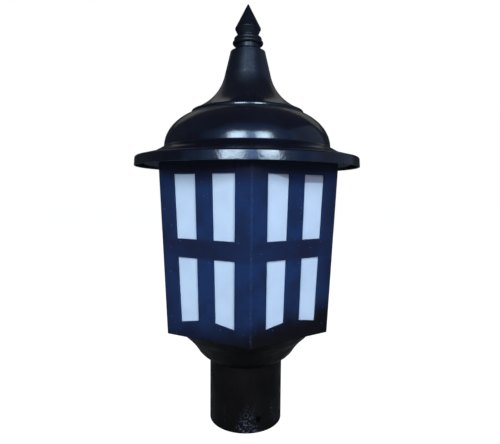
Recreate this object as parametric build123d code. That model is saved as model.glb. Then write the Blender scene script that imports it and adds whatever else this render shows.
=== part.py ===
from build123d import *

import os
from math import asin, cos, degrees, radians, sin, sqrt, tan

# Gate light: a six-sided lantern that slips over the top of a pole.
# Millimetres. The origin is the centre of the collar's mouth, with Z up and a corner of the cage towards -Y.

# Pole collar and bowl, one casting
pole_radius = 30.15
pole_clearance = 0.5
collar_wall = 4.6
collar_height = 62.1
floor_drop = 6.1
floor_thickness = 4.0
floor_left = 1.0
floor_screw_grip = 2.0
bowl_wall = 4.2
bowl_waist_step = 11.4
bowl_waist_rise = 9.0
bowl_shoulder_rise = 26.1
bowl_swell = 0.65
flange_width = 6.5
flange_clearance = 1.95
flange_underside_rise = 34.4
base_rise = 39.4

# Cable entry in the floor
cable_radius = 4.2
grommet_waist_wall = 2.8
grommet_lip = 2.5
grommet_lip_thickness = 1.5

# Set screws in the collar
set_screw_radius = 3.0
set_screw_length = 4.0
set_screw_sink = 0.45
set_screw_height = 13.2
set_screw_angle = 17.5
set_screw_count = 3
hex_key_width = 3.0
hex_key_depth = 2.0

# Cage
cage_sides = 6
cage_foot_radius = 82.5
cage_top_radius = 90.2
cage_wall = 2.0
skirt_drop = 5.4
base_gasket_thickness = 1.5
cage_lip_setback = 0.7
window_sill = 13.0
sill_arch = 3.3
lower_window_height = 53.8
cross_bar = 15.9
upper_window_height = 54.7
header = 10.7
corner_stile = 15.2
middle_stile = 15.9
corner_post_radius = 4.5
corner_post_length = 14.0
corner_post_bite = 1.1
post_clearance = 0.5

# Diffuser panels
panel_thickness = 2.5
panel_clearance = 0.3
panel_corner_gap = 8.5

# Holder tray
tray_thickness = 1.5
tray_rim_height = 7.0
tray_screw_setback = 5.7

# Roof ring and bridge
ring_thickness = 2.0
ring_overhang = 6.8
ring_opening = 70.0
ring_lip_depth = 8.0
ring_lip_wall = 1.0
bridge_width = 16.0
bridge_thickness = 2.5
bridge_end = 4.6
bridge_corner = 4.0

# Machine screws with pan heads
screw_radius = 1.95
screw_head_radius = 3.8
screw_head_height = 2.6
small_screw_radius = 1.45
small_screw_head_radius = 2.6
small_screw_head_height = 2.0
thread_clearance = 0.05
through_clearance = 0.25
screw_grip = 9.0
screw_tip_room = 0.5
cross_slot_width = 0.9
cross_slot_depth = 1.2
cross_slot_margin = 1.2
screw_head_round = 0.9

# Canopy
canopy_wall = 2.0
rim_clearance = 7.0
rim_drop = 2.2
rim_band = 6.6
rim_round = 2.4
rim_lean = 0.4
brim_width = 17.3
brim_rise = 12.7
dome_step = 9.8
dome_foot_rise = 18.2
dome_reach = 52.2
dome_height = 37.3
dome_seat_rise = 32.6
roof_gasket_width = 7.0
roof_gasket_inset = 1.0

# Spire
spire_overhang = 1.4
spire_edge = 2.55
spire_edge_round = 1.95
spire_flare_radius = 22.1
spire_flare_rise = 32.9
spire_flare_pull_radius = 27.65
spire_flare_pull_rise = 11.05
spire_neck_radius = 16.55
spire_neck_rise = 55.95
spire_top_radius = 11.9
spire_top_round = 1.2
spire_wall_in = 1.3
spire_wall_down = 2.0

# Finial and its stud
finial_washer_thickness = 1.2
finial_washer_radius = 10.2
finial_neck_radius = 12.0
finial_neck_height = 4.0
finial_lower_ring_radius = 14.6
finial_lower_ring_height = 3.6
finial_groove_radius = 12.6
finial_upper_ring_radius = 13.2
finial_upper_ring_height = 3.5
finial_waist_radius = 9.6
finial_waist_height = 2.1
finial_point_radius = 12.4
finial_point_base = 5.8
finial_point_height = 22.7
finial_tip_radius = 0.6
stud_radius = 3.0
stud_grip = 14.0
stud_tail = 4.0
stud_clearance = 0.08
stud_hole_clearance = 0.5
nut_width = 10.0
nut_height = 5.0

# Lamp holder
holder_barrel_radius = 18.0
holder_barrel_height = 27.0
holder_flange_radius = 25.0
holder_flange_height = 4.5
holder_plug_radius = 15.0
holder_plug_height = 9.0
holder_plug_clearance = 0.5
holder_floor = 5.5
holder_screw_circle = 21.7
holder_shell_wall = 0.7
holder_shell_lift = 1.0
holder_contact_radius = 6.0
holder_contact_thickness = 1.0
holder_contact_button = 3.0
holder_contact_button_height = 1.2
holder_contact_tip = 1.5

# Bulb
bulb_cap_radius = 13.2
bulb_thread_clearance = 0.1
bulb_contact_gap = 0.3
bulb_contact_radius = 4.6
bulb_contact_height = 2.0
bulb_insulator_radius = 9.0
bulb_cap_length = 22.0
bulb_thread_pitch = 3.6
bulb_thread_turns = 4
bulb_groove_radius = 1.0
bulb_groove_depth = 0.7
bulb_collar_rise = 1.5
bulb_collar_radius = 14.5
bulb_housing_height = 33.5
bulb_housing_radius = 27.6
bulb_housing_pull = 17.4
bulb_globe_height = 40.0
bulb_globe_wall = 1.2
led_board_radius = 23.0
led_board_thickness = 1.5
led_chip_size = 3.0
led_chip_height = 0.8
led_chip_circle = 14.0
led_chip_count = 8

# Terminal block and wiring in the bowl
block_length = 30.0
block_width = 14.0
block_height = 13.0
block_offset = 17.5
pole_pitch = 9.5
wire_height = 6.0
wire_radius = 1.2
wire_hole_clearance = 0.1
wire_grip = 4.5
clamp_screw_radius = 1.8
clamp_screw_inset = 3.5
clamp_screw_sink = 0.4
holder_terminal_offset = 7.0
holder_terminal_depth = 5.0
earth_screw_x = 23.0
earth_screw_y = -7.0
earth_tag_radius = 4.2
earth_tag_thickness = 1.0
earth_barrel_radius = 1.7
earth_barrel_length = 5.2
earth_barrel_lap = 0.4
earth_wire_bend = 5.0
wire_bend = 4.5
wire_climb = 18.0
wire_drop = 8.0
bend_share = 0.45

# Heights of the stack, from the collar's mouth upwards
floor_top = collar_height - floor_drop
bore_depth = floor_top - floor_thickness
flange_top = collar_height + base_rise
lip_bottom = flange_top + base_gasket_thickness
lip_top = lip_bottom + cage_wall
skirt_bottom = lip_bottom - skirt_drop
lower_sill = skirt_bottom + window_sill
lower_head = lower_sill + sill_arch + lower_window_height
upper_sill = lower_head + cross_bar
upper_head = upper_sill + upper_window_height
cage_top = upper_head + header
tray_top = lip_top + tray_thickness
ring_top = cage_top + ring_thickness
bridge_top = ring_top + bridge_thickness
rim_bottom = cage_top - rim_drop
brim_top = rim_bottom + brim_rise
dome_foot = rim_bottom + dome_foot_rise
spire_seat = dome_foot + dome_seat_rise
spire_edge_top = spire_seat + spire_edge
spire_neck = spire_edge_top + spire_neck_rise
spire_top = spire_neck + spire_top_round
washer_top = spire_top + finial_washer_thickness
holder_flange_top = tray_top + holder_flange_height
holder_top = holder_flange_top + holder_barrel_height
holder_socket = tray_top + holder_floor
contact_top = holder_socket + holder_contact_thickness + holder_contact_button_height
bulb_foot = contact_top + bulb_contact_gap
bulb_cap_foot = bulb_foot + bulb_contact_height
bulb_cap_top = bulb_cap_foot + bulb_cap_length
bulb_housing_top = bulb_cap_top + bulb_housing_height

# Sizes that follow from the ones above
bore_radius = pole_radius + pole_clearance
collar_radius = bore_radius + collar_wall
screw_hole = screw_radius + through_clearance
thread_hole = screw_radius + thread_clearance
small_screw_hole = small_screw_radius + through_clearance
small_thread_hole = small_screw_radius + thread_clearance
stud_hole = stud_radius + stud_hole_clearance
grommet_waist_radius = cable_radius + grommet_waist_wall
grommet_lip_radius = grommet_waist_radius + grommet_lip
half_side = 180 / cage_sides
half_turn = cos(radians(45))
cage_slope = (cage_top_radius - cage_foot_radius) / (cage_top - skirt_bottom)
face_lean = degrees(asin(cage_slope * cos(radians(half_side))))
ring_radius = cage_top_radius + ring_overhang
rim_radius = ring_radius + rim_clearance + canopy_wall
brim_radius = rim_radius - brim_width
dome_radius = brim_radius - dome_step
dome_centre = dome_radius - dome_reach
spire_seat_radius = dome_centre + dome_reach * sqrt(1 - (dome_seat_rise / dome_height) ** 2)
spire_foot_radius = spire_seat_radius + spire_overhang
holder_bore = bulb_cap_radius + bulb_thread_clearance + holder_shell_wall
block_back = block_offset + block_width / 2
wire_level = floor_top + wire_height
holder_foot = tray_top - holder_plug_height


def cage_radius(height):
    """Distance from the axis to a corner of the cage's outside at a height."""
    return cage_foot_radius + cage_slope * (height - skirt_bottom)


def face_distance(height):
    """Distance from the axis to a face of the cage's outside at a height."""
    return cage_radius(height) * cos(radians(half_side))


flange_radius = face_distance(skirt_bottom) - cage_wall - flange_clearance
bowl_waist_radius = collar_radius + bowl_waist_step
bowl_shoulder_radius = flange_radius - flange_width
bowl_mouth = bowl_shoulder_radius - bowl_wall
cage_lip_opening = bowl_mouth + cage_lip_setback
tray_screw_circle = bowl_mouth + tray_screw_setback
panel_depth = cage_wall + 2 * panel_clearance + panel_thickness
tray_reach = face_distance(lip_top) - panel_depth
ring_lip_reach = face_distance(cage_top - ring_lip_depth) - panel_depth
post_inset = cage_wall + corner_post_radius - corner_post_bite
post_circle = (face_distance(cage_top) - post_inset) / cos(radians(half_side))


def tube(outer, inner, bottom, top):
    """Upright ring between two heights, or a plain disc where the inner radius is 0."""
    upright = (Align.CENTER, Align.CENTER, Align.MIN)
    ring = Cylinder(outer, top - bottom, align=upright)
    if inner > 0:
        ring -= Cylinder(inner, top - bottom, align=upright)
    return Pos(0, 0, bottom) * ring


def turned(*edges):
    """Solid of revolution about Z from a closed profile of edges drawn as radius and height."""
    return revolve(Plane.XZ * make_face(Wire(list(edges))), Axis.Z)


def run(*points):
    """Straight edges through points, for a turned profile."""
    return Polyline(*points).edges()


def hexagon(reach, bottom, top):
    """Upright hexagonal prism whose faces stand at a distance from the axis, with corners on the Y axis."""
    outline = RegularPolygon(reach, cage_sides, major_radius=False, rotation=90)
    return extrude(Pos(0, 0, bottom) * outline, top - bottom)


def lantern(inset, bottom, top):
    """Tapered six-sided solid that lies inside the cage's outside by an inset."""
    sections = []
    for height in (bottom, top):
        outline = RegularPolygon(face_distance(height) - inset, cage_sides, major_radius=False, rotation=90)
        sections.append(Pos(0, 0, height) * outline)
    return loft(sections, ruled=True)


def around(count, radius, start=0.0):
    """Places on a circle, counted from the corner at -Y, each turned so that its own X points outwards."""
    return [Rot(0, 0, start - 90 + 360 * i / count) * Pos(radius, 0, 0) for i in range(count)]


def faced(shape, index):
    """A shape drawn for a face that looks along -Y, turned to the cage's face of that number."""
    return Rot(0, 0, half_side + 360 * index / cage_sides) * shape


def screw(radius, head_radius, head_height, length):
    """Pan head screw with a cross slot, its head resting at height 0 and its shank below."""
    body = tube(head_radius, 0, 0, head_height)
    body = fillet(body.edges().sort_by(Axis.Z)[-1], screw_head_round)
    body += tube(radius, 0, -length, 0)
    slot_length = 2 * (head_radius - cross_slot_margin)
    slot_floor = head_height - cross_slot_depth
    for angle in (0, 90):
        slot = Box(slot_length, cross_slot_width, head_height, align=(Align.CENTER, Align.CENTER, Align.MIN))
        body -= Rot(0, 0, angle) * Pos(0, 0, slot_floor) * slot
    return body


def group(shapes):
    """Several separate solids in one node."""
    return Compound(children=[shape.solid() for shape in shapes])


# Base


def bowl_edges(shift):
    """The bowl's S-shaped side as two arcs, moved towards the axis by a shift."""
    foot = (collar_radius - shift, collar_height)
    waist = (bowl_waist_radius - shift, collar_height + bowl_waist_rise)
    shoulder = (bowl_shoulder_radius - shift, collar_height + bowl_shoulder_rise)
    swell = ((foot[0] + waist[0]) / 2 + bowl_swell, (foot[1] + waist[1]) / 2 - bowl_swell)
    hollow = ((waist[0] + shoulder[0]) / 2 - bowl_swell, (waist[1] + shoulder[1]) / 2 + bowl_swell)
    return [ThreePointArc(foot, swell, waist), ThreePointArc(waist, hollow, shoulder)]


def base_casting():
    rim_height = collar_height + flange_underside_rise
    shoulder = (bowl_shoulder_radius, collar_height + bowl_shoulder_rise)
    outside = turned(
        *run((0, 0), (collar_radius, 0), (collar_radius, collar_height)),
        *bowl_edges(0),
        *run(shoulder, (flange_radius, rim_height), (flange_radius, flange_top), (0, flange_top), (0, 0)),
    )
    foot = collar_radius - bowl_wall
    cavity = turned(
        *run((0, floor_top), (foot, floor_top), (foot, collar_height)),
        *bowl_edges(bowl_wall),
        *run((bowl_mouth, shoulder[1]), (bowl_mouth, flange_top), (0, flange_top), (0, floor_top)),
    )
    base = outside - cavity - tube(bore_radius, 0, 0, bore_depth)
    base -= tube(grommet_waist_radius, 0, bore_depth, floor_top)
    base -= tube(grommet_lip_radius, 0, bore_depth, bore_depth + grommet_lip_thickness)
    for place in around(cage_sides, tray_screw_circle):
        base -= place * tube(thread_hole, 0, flange_top - screw_grip - screw_tip_room, flange_top)
    for index in range(set_screw_count):
        base -= set_screw_place(index) * Cylinder(
            set_screw_radius + stud_clearance,
            2 * collar_wall,
            align=(Align.CENTER, Align.CENTER, Align.CENTER),
        )
    earth_hole = tube(thread_hole, 0, bore_depth + floor_left, floor_top)
    base -= Pos(earth_screw_x, earth_screw_y, 0) * earth_hole
    for side in (-1, 1):
        fixing_hole = tube(small_thread_hole, 0, bore_depth + floor_left, floor_top)
        base -= Pos(side * pole_pitch / 2, block_offset, 0) * fixing_hole
    return base


def cable_grommet():
    lips = tube(grommet_lip_radius, 0, bore_depth, bore_depth + grommet_lip_thickness)
    lips += tube(grommet_lip_radius, 0, floor_top, floor_top + grommet_lip_thickness)
    body = lips + tube(grommet_waist_radius, 0, bore_depth, floor_top + grommet_lip_thickness)
    return body - tube(cable_radius, 0, bore_depth, floor_top + grommet_lip_thickness)


def set_screw_place(index):
    """Middle of the collar's wall at one set screw, with Z pointing outwards along the screw."""
    angle = set_screw_angle - 90 + 360 * index / set_screw_count
    return Rot(0, 0, angle) * Pos(bore_radius + collar_wall / 2, 0, set_screw_height) * Rot(0, 90, 0)


def set_screw(index):
    head = collar_wall / 2 - set_screw_sink
    body = tube(set_screw_radius, 0, head - set_screw_length, head)
    key = Pos(0, 0, head) * RegularPolygon(hex_key_width / 2, 6, major_radius=False)
    body -= extrude(key, -hex_key_depth)
    return set_screw_place(index) * body


def base_gasket():
    ring = tube(flange_radius - panel_clearance, cage_lip_opening, flange_top, lip_bottom)
    for place in around(cage_sides, tray_screw_circle):
        ring -= place * tube(screw_hole, 0, flange_top, lip_bottom)
    return ring


# Cage


def stile_edge(height):
    """Distance from the middle of a face to its corner stile at a height."""
    return cage_radius(height) * sin(radians(half_side)) - corner_stile


def window(inner_sill, outer_sill, head):
    """Opening between the middle and the corner stile on the +X side of a face that looks along -Y."""
    inner = middle_stile / 2
    foot = [(inner, inner_sill), (stile_edge(outer_sill), outer_sill)]
    outline = make_face(Polyline(*foot, (stile_edge(head), head), (inner, head), close=True))
    return extrude(Plane.XZ.offset(face_distance(skirt_bottom) / 2) * outline, face_distance(cage_top))


def windows():
    """The four openings of one face. The lower ones have sills that rise towards the middle."""
    crown = lower_sill + sill_arch
    one_side = [window(crown, lower_sill, lower_head), window(upper_sill, upper_sill, upper_head)]
    return one_side + [mirror(opening, Plane.YZ) for opening in one_side]


def cage():
    shell = lantern(0, skirt_bottom, cage_top) - lantern(cage_wall, skirt_bottom, cage_top)
    lip = lantern(cage_wall / 2, lip_bottom, lip_top) - tube(cage_lip_opening, 0, lip_bottom, lip_top)
    shell += lip
    for place in around(cage_sides, post_circle):
        post = place * tube(corner_post_radius, 0, cage_top - corner_post_length, cage_top)
        shell += post & lantern(cage_wall / 2, cage_top - corner_post_length, cage_top)
    for place in around(cage_sides, post_circle):
        shell -= place * tube(thread_hole, 0, cage_top - screw_grip - screw_tip_room, cage_top)
    for place in around(cage_sides, tray_screw_circle):
        shell -= place * tube(screw_hole, 0, lip_bottom, lip_top)
    for index in range(cage_sides):
        for opening in windows():
            shell -= faced(opening, index)
    return shell


def diffuser_panel(index):
    """Flat pane behind one face, leaning with it."""
    bottom = lip_top + panel_clearance
    top = cage_top - panel_clearance
    lean = radians(face_lean)
    middle = (bottom + top) / 2
    front = Plane(
        origin=(0, -face_distance(middle), middle),
        x_dir=(1, 0, 0),
        z_dir=(0, -cos(lean), -sin(lean)),
    ).offset(-cage_wall - panel_clearance)
    corners = []
    for height in (bottom, top):
        half_width = (face_distance(height) - cage_wall) * tan(radians(half_side)) - panel_corner_gap
        rise = (height - middle) / cos(lean)
        if height == bottom:
            corners += [(-half_width, rise), (half_width, rise)]
        else:
            corners += [(half_width, rise), (-half_width, rise)]
    pane = extrude(front * make_face(Polyline(*corners, close=True)), -panel_thickness)
    return faced(pane, index)


# Holder tray, roof ring and bridge


def holder_tray():
    tray = hexagon(tray_reach, lip_top, lip_top + tray_rim_height)
    tray -= hexagon(tray_reach - tray_thickness, tray_top, lip_top + tray_rim_height)
    tray -= tube(holder_plug_radius + holder_plug_clearance, 0, lip_top, tray_top)
    for place in around(cage_sides, tray_screw_circle):
        tray -= place * tube(screw_hole, 0, lip_top, tray_top)
    for place in around(2, holder_screw_circle, 90):
        tray -= place * tube(small_thread_hole, 0, lip_top, tray_top)
    return tray


def base_screws():
    length = tray_top - flange_top + screw_grip
    one = Pos(0, 0, tray_top) * screw(screw_radius, screw_head_radius, screw_head_height, length)
    return group([place * one for place in around(cage_sides, tray_screw_circle)])


def roof_ring():
    ring = tube(ring_radius, ring_opening, cage_top, ring_top)
    lip = hexagon(ring_lip_reach, cage_top - ring_lip_depth, cage_top)
    lip -= hexagon(ring_lip_reach - ring_lip_wall, cage_top - ring_lip_depth, cage_top)
    for place in around(cage_sides, post_circle):
        lip -= place * tube(corner_post_radius + post_clearance, 0, cage_top - ring_lip_depth, cage_top)
    ring += lip
    for place in around(cage_sides, post_circle):
        ring -= place * tube(screw_hole, 0, cage_top, ring_top)
    return ring


def post_screws(corners, seat):
    """Screws into the cage's corner posts, at the corners counted from -Y."""
    length = seat - cage_top + screw_grip
    one = Pos(0, 0, seat) * screw(screw_radius, screw_head_radius, screw_head_height, length)
    places = around(cage_sides, post_circle)
    return group([places[corner] * one for corner in corners])


def roof_bridge():
    length = 2 * (post_circle + bridge_end)
    strap = Pos(0, 0, ring_top) * Box(
        bridge_width, length, bridge_thickness, align=(Align.CENTER, Align.CENTER, Align.MIN)
    )
    strap = fillet(strap.edges().filter_by(Axis.Z), bridge_corner)
    strap -= tube(stud_hole, 0, ring_top, bridge_top)
    for place in around(2, post_circle):
        strap -= place * tube(screw_hole, 0, ring_top, bridge_top)
    return strap


def bridge_nut():
    outline = Pos(0, 0, ring_top) * RegularPolygon(nut_width / 2, 6, major_radius=False)
    nut = extrude(outline, -nut_height)
    return nut - tube(stud_radius + stud_clearance, 0, ring_top - nut_height, ring_top)


# Canopy, spire and finial


def dome_arc(wall):
    """The dome's side, from the seat of the spire down to the brim, moved in by a wall."""
    reach = dome_reach - wall
    height = dome_height - wall
    seat = dome_seat_rise - wall
    sweep_angle = degrees(asin(seat / height))
    return EllipticalCenterArc((dome_centre, dome_foot), reach, height, 0, arc_size=sweep_angle)


def brim_edges(wall):
    """Rim band, rounded edge and brim, from the rim's lower edge up to the dome, moved in by a wall."""
    edge = rim_radius - wall
    shoulder = rim_bottom + rim_band
    band_top = (edge - rim_lean, shoulder)
    turn = (edge - rim_lean - rim_round * (1 - half_turn), shoulder + rim_round * half_turn - wall / 2)
    brim_start = (edge - rim_lean - rim_round, shoulder + rim_round - wall / 2)
    brim_end = (brim_radius - wall / 2, brim_top - wall)
    dome_start = (dome_radius - wall, dome_foot)
    return [
        *run((edge, rim_bottom), band_top),
        ThreePointArc(band_top, turn, brim_start),
        *run(brim_start, brim_end, dome_start),
    ]


def canopy_dome():
    outer = dome_arc(0)
    inner = dome_arc(canopy_wall)
    outer_top = (0, spire_seat)
    inner_top = (0, spire_seat - canopy_wall)
    shell = turned(
        *brim_edges(0),
        outer,
        *run((spire_seat_radius, spire_seat), outer_top, inner_top, tuple(inner @ 1)[:2]),
        inner,
        *brim_edges(canopy_wall),
        *run((rim_radius - canopy_wall, rim_bottom), (rim_radius, rim_bottom)),
    )
    return shell - tube(stud_hole, 0, spire_seat - canopy_wall, spire_seat)


def brim_underside(radius):
    """Height of the brim's underside at a radius, where the roof gasket presses."""
    start = brim_edges(canopy_wall)[2]
    low, high = start @ 0, start @ 1
    share = (low.X - radius) / (low.X - high.X)
    return low.Y + share * (high.Y - low.Y)


def roof_gasket():
    outer = ring_radius - roof_gasket_inset
    inner = outer - roof_gasket_width
    corners = [(inner, ring_top), (outer, ring_top)]
    corners += [(outer, brim_underside(outer)), (inner, brim_underside(inner)), (inner, ring_top)]
    return turned(*run(*corners))


def spire_edges(left, down):
    """The spire's side from its foot's upper edge to its top, moved towards the axis and down."""
    start = (spire_foot_radius - spire_edge_round - left, spire_edge_top - down)
    pull = (spire_flare_pull_radius - left, spire_edge_top + spire_flare_pull_rise - down)
    flare = (spire_flare_radius - left, spire_edge_top + spire_flare_rise - down)
    neck = (spire_neck_radius - left, spire_neck - down)
    top = (spire_top_radius - left, spire_top - down)
    return [Bezier(start, pull, flare), *run(flare, neck), TangentArc(top, neck, tangent=(1, 0))]


def spire_cone():
    edge_start = spire_edge_top - spire_edge_round
    edge_turn = spire_edge_round * (1 - half_turn)
    rounding = ThreePointArc(
        (spire_foot_radius, edge_start),
        (spire_foot_radius - edge_turn, spire_edge_top - edge_turn),
        (spire_foot_radius - spire_edge_round, spire_edge_top),
    )
    inner_foot = spire_foot_radius - spire_edge_round - spire_wall_in
    outside = turned(
        *run((0, spire_seat), (spire_foot_radius, spire_seat), (spire_foot_radius, edge_start)),
        rounding,
        *spire_edges(0, 0),
        *run((spire_top_radius, spire_top), (0, spire_top), (0, spire_seat)),
    )
    inner_top = (spire_top_radius - spire_wall_in, spire_top - spire_wall_down)
    inside = turned(
        *run((0, spire_seat), (inner_foot, spire_seat), (inner_foot, spire_edge_top - spire_wall_down)),
        *spire_edges(spire_wall_in, spire_wall_down),
        *run(inner_top, (0, inner_top[1]), (0, spire_seat)),
    )
    return outside - inside - tube(stud_hole, 0, inner_top[1], spire_top)


def finial_washer():
    return tube(finial_washer_radius, stud_hole, spire_top, washer_top)


def finial():
    neck = washer_top + finial_neck_height
    lower = neck + finial_lower_ring_height
    upper = lower + finial_upper_ring_height
    waist = upper + finial_waist_height
    point = waist + finial_point_base
    tip = point + finial_point_height
    body = turned(
        *run((0, washer_top), (finial_neck_radius, washer_top), (finial_neck_radius, neck)),
        ThreePointArc(
            (finial_neck_radius, neck),
            (finial_lower_ring_radius, (neck + lower) / 2),
            (finial_groove_radius, lower),
        ),
        ThreePointArc(
            (finial_groove_radius, lower),
            (finial_upper_ring_radius, (lower + upper) / 2),
            (finial_waist_radius, upper),
        ),
        *run(
            (finial_waist_radius, upper),
            (finial_waist_radius, waist),
            (finial_point_radius, point),
            (finial_tip_radius, tip),
            (0, tip),
            (0, washer_top),
        ),
    )
    return body - tube(stud_radius + thread_clearance, 0, washer_top, washer_top + stud_grip)


def finial_stud():
    return tube(stud_radius, 0, ring_top - nut_height - stud_tail, washer_top + stud_grip)


# Lamp holder and bulb


def lamp_holder():
    body = tube(holder_flange_radius, 0, tray_top, holder_flange_top)
    body += tube(holder_barrel_radius, 0, holder_flange_top, holder_top)
    body += tube(holder_plug_radius, 0, holder_foot, tray_top)
    body -= tube(holder_bore, 0, holder_socket, holder_top)
    for place in around(2, holder_screw_circle, 90):
        body -= place * tube(small_screw_hole, 0, tray_top, holder_flange_top)
    for side in (-1, 1):
        hole = tube(wire_radius + wire_hole_clearance, 0, holder_foot, holder_foot + holder_terminal_depth)
        body -= Pos(side * holder_terminal_offset, 0, 0) * hole
    return body


def holder_thread_shell():
    bottom = holder_socket + holder_shell_lift + holder_contact_thickness
    return tube(holder_bore, holder_bore - holder_shell_wall, bottom, holder_top - holder_shell_lift)


def holder_contact():
    plate = tube(holder_contact_radius, 0, holder_socket, holder_socket + holder_contact_thickness)
    button = Pos(0, 0, holder_socket + holder_contact_thickness) * Cone(
        holder_contact_button,
        holder_contact_tip,
        holder_contact_button_height,
        align=(Align.CENTER, Align.CENTER, Align.MIN),
    )
    return plate + button


def holder_screws():
    length = holder_flange_height + tray_thickness
    one = screw(small_screw_radius, small_screw_head_radius, small_screw_head_height, length)
    places = around(2, holder_screw_circle, 90)
    return group([place * Pos(0, 0, holder_flange_top) * one for place in places])


def bulb_contact():
    return Pos(0, 0, bulb_foot) * Cone(
        bulb_contact_radius,
        bulb_insulator_radius,
        bulb_contact_height,
        align=(Align.CENTER, Align.CENTER, Align.MIN),
    )


def bulb_cap():
    cap = tube(bulb_cap_radius, 0, bulb_cap_foot, bulb_cap_top)
    for turn in range(bulb_thread_turns):
        height = bulb_cap_foot + bulb_thread_pitch * (turn + 1)
        groove = Torus(bulb_cap_radius + bulb_groove_radius - bulb_groove_depth, bulb_groove_radius)
        cap -= Pos(0, 0, height) * groove
    return cap


def bulb_housing():
    collar = bulb_cap_top + bulb_collar_rise
    corners = [(0, bulb_cap_top), (bulb_cap_radius, bulb_cap_top), (bulb_collar_radius, collar)]
    side = Bezier(
        (bulb_collar_radius, collar),
        (bulb_housing_pull, (collar + bulb_housing_top) / 2),
        (bulb_housing_radius, bulb_housing_top),
    )
    return turned(
        *run(*corners),
        side,
        *run((bulb_housing_radius, bulb_housing_top), (0, bulb_housing_top), (0, bulb_cap_top)),
    )


def globe_side(wall):
    """Round side of the globe from its foot to its top, as an arc centred on the axis, moved in by a wall."""
    centre = (bulb_globe_height**2 - bulb_housing_radius**2) / (2 * bulb_globe_height)
    radius = bulb_globe_height - centre - wall
    foot_angle = -asin(centre / radius)
    middle_angle = (foot_angle + radians(90)) / 2
    height = bulb_housing_top + centre
    points = []
    for angle in (foot_angle, middle_angle, radians(90)):
        points.append((radius * cos(angle), height + radius * sin(angle)))
    return ThreePointArc(points[0], points[1], (0, height + radius))


def bulb_globe():
    outer = globe_side(0)
    inner = globe_side(bulb_globe_wall)
    outer_foot, inner_foot = outer @ 0, inner @ 0
    return turned(
        outer,
        *run((0, (outer @ 1).Y), (0, (inner @ 1).Y)),
        inner,
        *run((inner_foot.X, inner_foot.Y), (outer_foot.X, outer_foot.Y)),
    )


def led_board():
    top = bulb_housing_top + led_board_thickness
    board = tube(led_board_radius, 0, bulb_housing_top, top)
    chip = Pos(0, 0, top) * Box(
        led_chip_size, led_chip_size, led_chip_height, align=(Align.CENTER, Align.CENTER, Align.MIN)
    )
    for place in around(led_chip_count, led_chip_circle):
        board += place * chip
    return board


# Wiring


def terminal_poles():
    """Middles of the block's three poles along X."""
    return [-pole_pitch, 0, pole_pitch]


def clamp_places():
    """Clamp screws over each pole, on the supply side and on the lamp side."""
    places = []
    for side in (-1, 1):
        for pole in terminal_poles():
            places.append((pole, block_offset + side * (block_width / 2 - clamp_screw_inset)))
    return places


def terminal_block():
    block = Pos(0, block_offset, floor_top) * Box(
        block_length, block_width, block_height, align=(Align.CENTER, Align.CENTER, Align.MIN)
    )
    top = floor_top + block_height
    for pole in terminal_poles():
        for side in (-1, 1):
            mouth = block_offset + side * block_width / 2
            hole = Cylinder(wire_radius + wire_hole_clearance, 2 * wire_grip)
            block -= Pos(pole, mouth, wire_level) * Rot(90, 0, 0) * hole
    for x, y in clamp_places():
        block -= Pos(x, y, 0) * tube(clamp_screw_radius + thread_clearance, 0, wire_level, top)
    for side in (-1, 1):
        block -= Pos(side * pole_pitch / 2, block_offset, 0) * tube(small_screw_hole, 0, floor_top, top)
    return block


def terminal_screws():
    top = floor_top + block_height - clamp_screw_sink
    bottom = wire_level + wire_radius + wire_hole_clearance
    one = tube(clamp_screw_radius, 0, bottom, top)
    slot = Box(2 * clamp_screw_radius, cross_slot_width, cross_slot_depth)
    one -= Pos(0, 0, top) * slot
    return group([Pos(x, y, 0) * one for x, y in clamp_places()])


def block_screws():
    length = block_height + floor_screw_grip
    one = screw(small_screw_radius, small_screw_head_radius, small_screw_head_height, length)
    seat = floor_top + block_height
    return group([Pos(side * pole_pitch / 2, block_offset, seat) * one for side in (-1, 1)])


def wire(points):
    """Insulated wire through points, with bends as wide as its runs allow."""
    radii = []
    for before, corner, after in zip(points, points[1:], points[2:]):
        leg_in = Vector(corner) - Vector(before)
        leg_out = Vector(after) - Vector(corner)
        turn = radians(leg_in.get_angle(leg_out))
        radii.append(bend_share * min(leg_in.length, leg_out.length) / tan(turn / 2))
    path = FilletPolyline(*points, radius=radii)
    return sweep(Plane(origin=path @ 0, z_dir=path % 0) * Circle(wire_radius), path)


def lamp_wire(pole, side):
    """Wire from the block's lamp side, up the bowl and into the foot of the lamp holder."""
    end = side * holder_terminal_offset
    clear = block_back + wire_bend
    return wire(
        [
            (pole, block_back - wire_grip, wire_level),
            (pole, clear, wire_level),
            (pole, clear + wire_radius, wire_level + wire_climb),
            (end, 0, holder_foot - wire_drop),
            (end, 0, holder_foot + holder_terminal_depth),
        ]
    )


def earth_wire():
    barrel_end = earth_screw_y + earth_tag_radius - earth_barrel_lap + earth_barrel_length
    level = floor_top + earth_barrel_radius
    return wire(
        [
            (pole_pitch, block_back - wire_grip, wire_level),
            (pole_pitch, block_back + 2.0, wire_level),
            (pole_pitch + 4.0, block_back + 3.5, wire_level + 4.5),
            (earth_screw_x - 3.0, block_back - 1.5, wire_level + 5.0),
            (earth_screw_x, barrel_end + 2 * earth_wire_bend, wire_level),
            (earth_screw_x, barrel_end + earth_wire_bend, level),
            (earth_screw_x, barrel_end, level),
        ]
    )


def earth_tag():
    top = floor_top + earth_tag_thickness
    tag = Pos(earth_screw_x, earth_screw_y, 0) * tube(earth_tag_radius, 0, floor_top, top)
    barrel_start = earth_screw_y + earth_tag_radius - earth_barrel_lap
    barrel = Rot(-90, 0, 0) * Cylinder(
        earth_barrel_radius, earth_barrel_length, align=(Align.CENTER, Align.CENTER, Align.MIN)
    )
    tag += Pos(earth_screw_x, barrel_start, floor_top + earth_barrel_radius) * barrel
    return tag - Pos(earth_screw_x, earth_screw_y, 0) * tube(screw_hole, 0, floor_top, top)


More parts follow.
